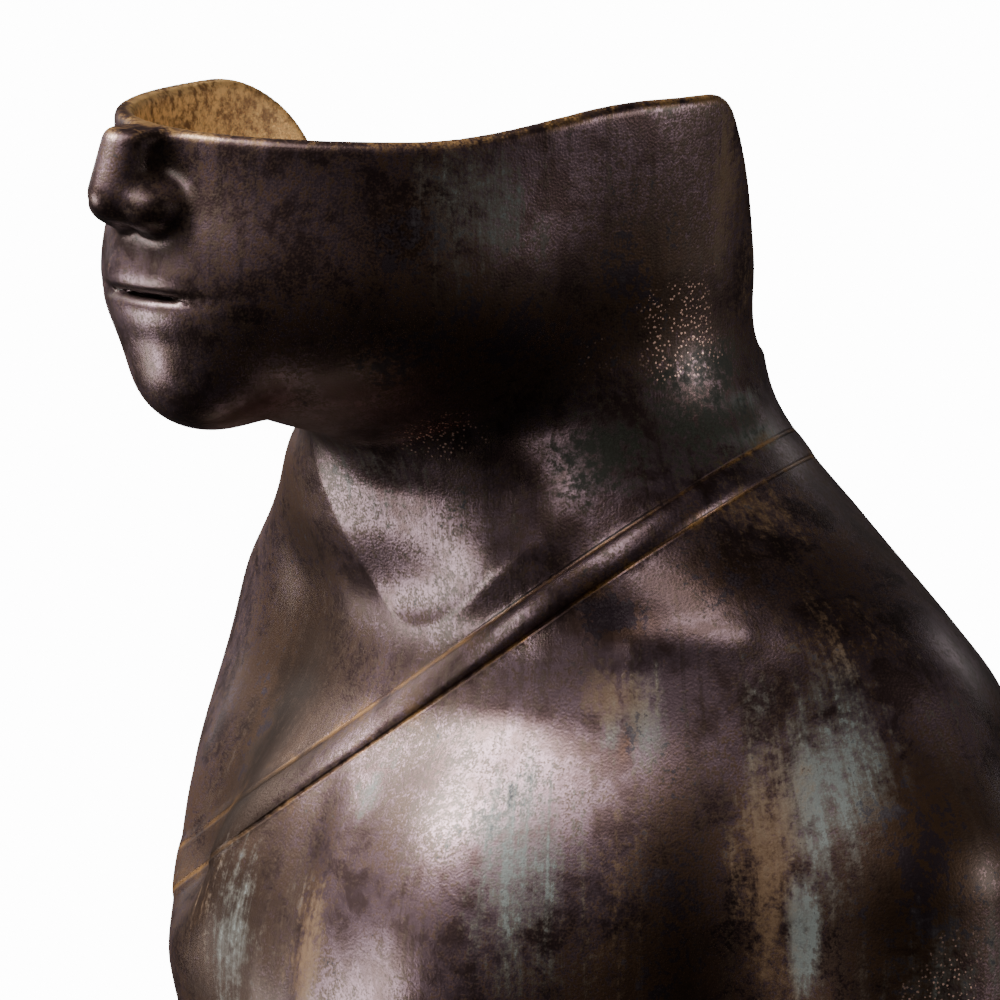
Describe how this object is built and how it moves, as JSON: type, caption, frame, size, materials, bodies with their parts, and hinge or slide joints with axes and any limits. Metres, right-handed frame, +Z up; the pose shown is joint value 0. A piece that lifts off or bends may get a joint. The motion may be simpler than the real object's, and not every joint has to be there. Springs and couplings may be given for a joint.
{
  "type": "torso statuette",
  "caption": "Bronze statuette of a torso with short arms, a band across the chest and a head open above the nose and behind, on a low plain stone block.",
  "frame": {"origin": "middle of the underside of the stone block", "axes": "+Z up along the standing figure, which faces -Y and has its left side at +X"},
  "size_m": [0.189, 0.1643, 0.3839],
  "materials": {
    "bronze": "dark brown patinated cast bronze with grey-green patches, satin",
    "stone": "honed pale limestone"
  },
  "bodies": {
    "root": {"bronze_torso": "bronze", "base_block": "stone"}
  },
  "joints": []
}
